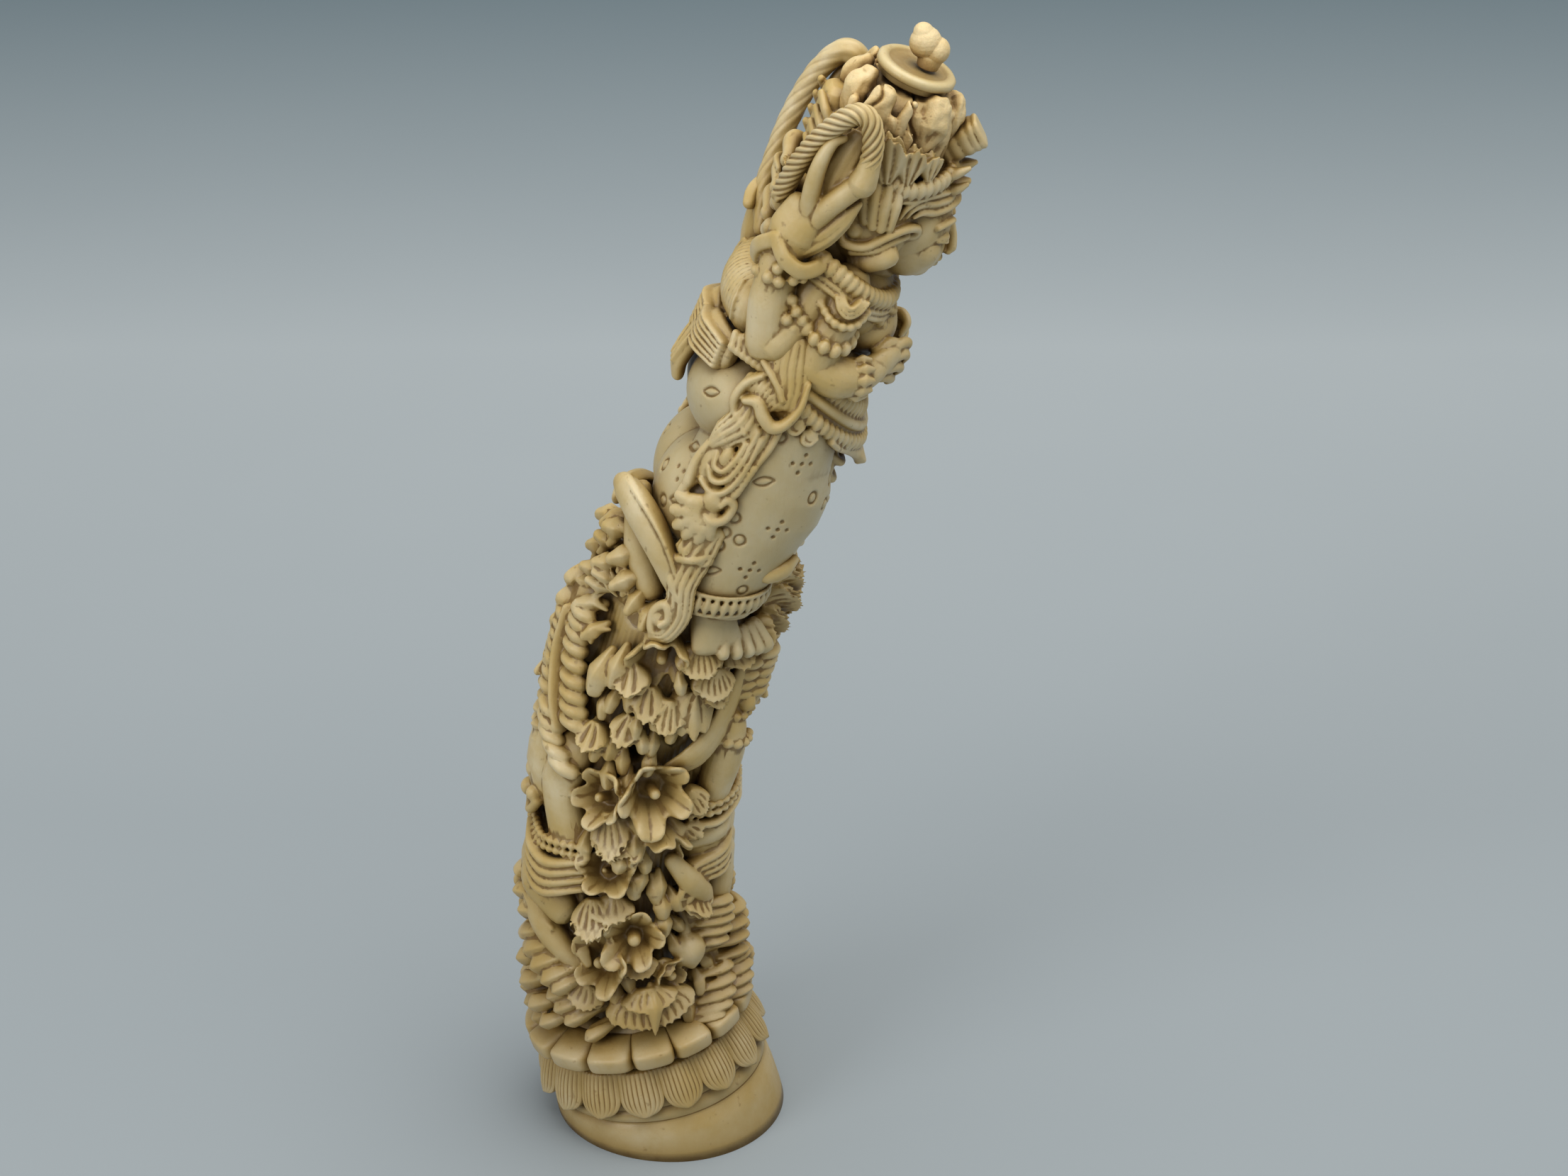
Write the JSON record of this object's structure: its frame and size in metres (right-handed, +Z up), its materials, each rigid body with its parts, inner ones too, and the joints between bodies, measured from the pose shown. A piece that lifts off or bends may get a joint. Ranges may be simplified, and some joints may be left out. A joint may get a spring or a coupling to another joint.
{
  "type": "bone figurine",
  "caption": "Carved bone figurine: a crowned deity with raised and folded arms standing on a leafy column above a lotus base, following the curve of the bone.",
  "frame": {"origin": "centre of the round underside of the base", "axes": "+Z up from the underside, +X the way the figure faces and the bone leans at its top, +Y to the figure's left"},
  "size_m": [0.087, 0.0433, 0.2233],
  "materials": {
    "carved_bone": "satin, yellow-brown in the recesses",
    "pale_bone": "satin",
    "rough_bone": "dull, porous"
  },
  "bodies": {
    "root": {"figurine": "carved_bone", "crown_cap": "pale_bone", "finial_knob": "rough_bone"}
  },
  "joints": []
}
